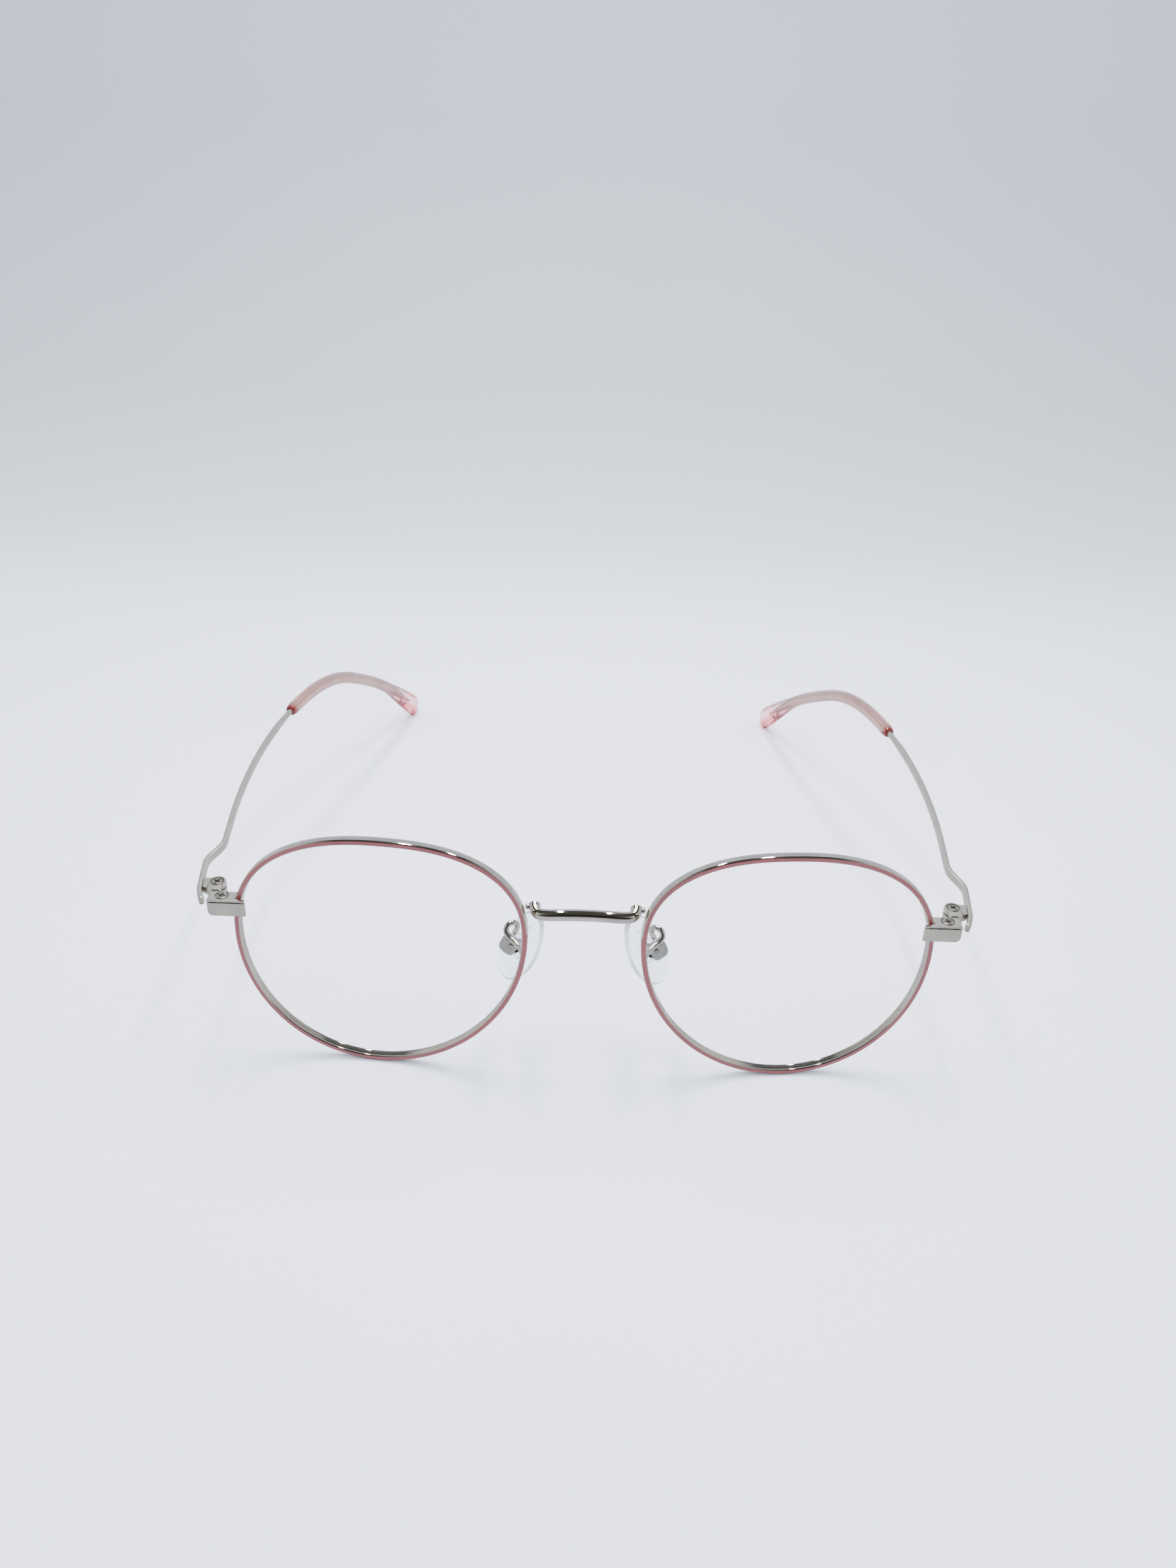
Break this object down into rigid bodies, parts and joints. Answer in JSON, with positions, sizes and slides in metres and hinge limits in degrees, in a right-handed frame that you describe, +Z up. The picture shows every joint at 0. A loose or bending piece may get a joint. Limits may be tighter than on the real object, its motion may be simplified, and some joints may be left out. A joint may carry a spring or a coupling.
{
  "type": "eyeglasses",
  "caption": "Round full-rim wire eyeglasses with clear lenses, a bar bridge, adjustable nose pads, screw hinges and slim folding temples with curved translucent tips.",
  "frame": {"origin": "on the ground under the middle of the object's bounding box, half way between the front and the temple tips and on the plane of symmetry", "axes": "+X to the right of a viewer who faces the front, +Y from the front back towards the temple tips, +Z up; left and right in names are that viewer's"},
  "size_m": [0.1404, 0.1502, 0.0483],
  "materials": {
    "rim_enamel": "dusty rose enamel on the front face of a polished silver wire",
    "polished_metal": "mirror-polished silver plating",
    "satin_metal": "fine satin silver plating",
    "screw_metal": "turned screw steel, slightly dull in the recess",
    "lens_clear": "clear, anti-reflection coated",
    "tip_acetate": "translucent pale pink, polished",
    "pad_silicone": "clear soft silicone with moulded rings",
    "insert_plastic": "clear hard plastic core of the pad"
  },
  "bodies": {
    "front": {"bridge": "polished_metal", "rim_left": "rim_enamel", "rim_right": "rim_enamel", "lens_left": "lens_clear", "lens_right": "lens_clear", "endpiece_upper_left": "satin_metal", "endpiece_upper_right": "satin_metal", "endpiece_lower_left": "satin_metal", "endpiece_lower_right": "satin_metal", "rimlock_screw_left": "screw_metal", "rimlock_screw_right": "screw_metal", "hinge_front_leaf_left": "satin_metal", "hinge_front_leaf_right": "satin_metal", "hinge_screw_left": "screw_metal", "hinge_screw_right": "screw_metal", "pad_arm_left": "polished_metal", "pad_arm_right": "polished_metal", "pad_box_left": "polished_metal", "pad_box_right": "polished_metal", "pad_screw_left": "screw_metal", "pad_screw_right": "screw_metal"},
    "left_temple": {"temple_left": "satin_metal", "temple_tip_left": "tip_acetate", "hinge_temple_leaf_left": "satin_metal"},
    "left_pad": {"nose_pad_left": "pad_silicone", "pad_insert_left": "insert_plastic"},
    "right_temple": {"temple_right": "satin_metal", "temple_tip_right": "tip_acetate", "hinge_temple_leaf_right": "satin_metal"},
    "right_pad": {"nose_pad_right": "pad_silicone", "pad_insert_right": "insert_plastic"}
  },
  "joints": [
    {"name": "left_temple_hinge", "type": "hinge", "parent": "front", "child": "left_temple", "pos_m": [-0.0651, -0.06598, 0.0328], "axis": [0, 0, -1], "range_deg": [0, 85]},
    {"name": "right_temple_hinge", "type": "hinge", "parent": "front", "child": "right_temple", "pos_m": [0.0651, -0.06598, 0.0328], "axis": [0, 0, 1], "range_deg": [0, 80]},
    {"name": "left_pad_rock", "type": "hinge", "parent": "front", "child": "left_pad", "pos_m": [-0.01315, -0.06698, 0.0237], "axis": [-0.7483, 0.628, 0.2138], "range_deg": [-10, 10]},
    {"name": "right_pad_rock", "type": "hinge", "parent": "front", "child": "right_pad", "pos_m": [0.01315, -0.06698, 0.0237], "axis": [0.7483, 0.628, 0.2138], "range_deg": [-10, 10]}
  ]
}
